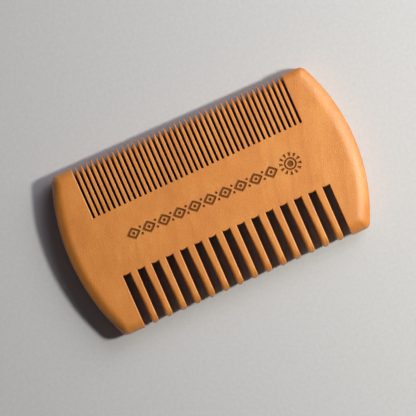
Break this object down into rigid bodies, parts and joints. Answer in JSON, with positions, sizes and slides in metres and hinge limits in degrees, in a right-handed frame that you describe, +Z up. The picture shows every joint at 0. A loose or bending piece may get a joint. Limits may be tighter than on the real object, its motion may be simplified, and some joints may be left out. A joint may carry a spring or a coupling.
{
  "type": "beard comb",
  "caption": "Flat double-sided wooden beard comb with rounded ends, fine teeth on one long edge and wide teeth on the other.",
  "frame": {"origin": "middle of the comb's outline, on the underside it lies on", "axes": "+X along the comb's length, +Y in the plane towards the fine teeth, +Z up through the thickness"},
  "size_m": [0.1, 0.0564, 0.009],
  "materials": {
    "pear_wood": "satin"
  },
  "bodies": {
    "root": {"spine": "pear_wood", "left_end_guard": "pear_wood", "right_end_guard": "pear_wood", "fine_tooth_01": "pear_wood", "fine_tooth_02": "pear_wood", "fine_tooth_03": "pear_wood", "fine_tooth_04": "pear_wood", "fine_tooth_05": "pear_wood", "fine_tooth_06": "pear_wood", "fine_tooth_07": "pear_wood", "fine_tooth_08": "pear_wood", "fine_tooth_09": "pear_wood", "fine_tooth_10": "pear_wood", "fine_tooth_11": "pear_wood", "fine_tooth_12": "pear_wood", "fine_tooth_13": "pear_wood", "fine_tooth_14": "pear_wood", "fine_tooth_15": "pear_wood", "fine_tooth_16": "pear_wood", "fine_tooth_17": "pear_wood", "fine_tooth_18": "pear_wood", "fine_tooth_19": "pear_wood", "fine_tooth_20": "pear_wood", "fine_tooth_21": "pear_wood", "fine_tooth_22": "pear_wood", "fine_tooth_23": "pear_wood", "fine_tooth_24": "pear_wood", "fine_tooth_25": "pear_wood", "fine_tooth_26": "pear_wood", "fine_tooth_27": "pear_wood", "fine_tooth_28": "pear_wood", "fine_tooth_29": "pear_wood", "fine_tooth_30": "pear_wood", "fine_tooth_31": "pear_wood", "fine_tooth_32": "pear_wood", "fine_tooth_33": "pear_wood", "fine_tooth_34": "pear_wood", "fine_tooth_35": "pear_wood", "fine_tooth_36": "pear_wood", "fine_tooth_37": "pear_wood", "fine_tooth_38": "pear_wood", "fine_tooth_39": "pear_wood", "fine_tooth_40": "pear_wood", "wide_tooth_01": "pear_wood", "wide_tooth_02": "pear_wood", "wide_tooth_03": "pear_wood", "wide_tooth_04": "pear_wood", "wide_tooth_05": "pear_wood", "wide_tooth_06": "pear_wood", "wide_tooth_07": "pear_wood", "wide_tooth_08": "pear_wood", "wide_tooth_09": "pear_wood", "wide_tooth_10": "pear_wood", "wide_tooth_11": "pear_wood", "wide_tooth_12": "pear_wood", "wide_tooth_13": "pear_wood", "wide_tooth_14": "pear_wood"}
  },
  "joints": []
}
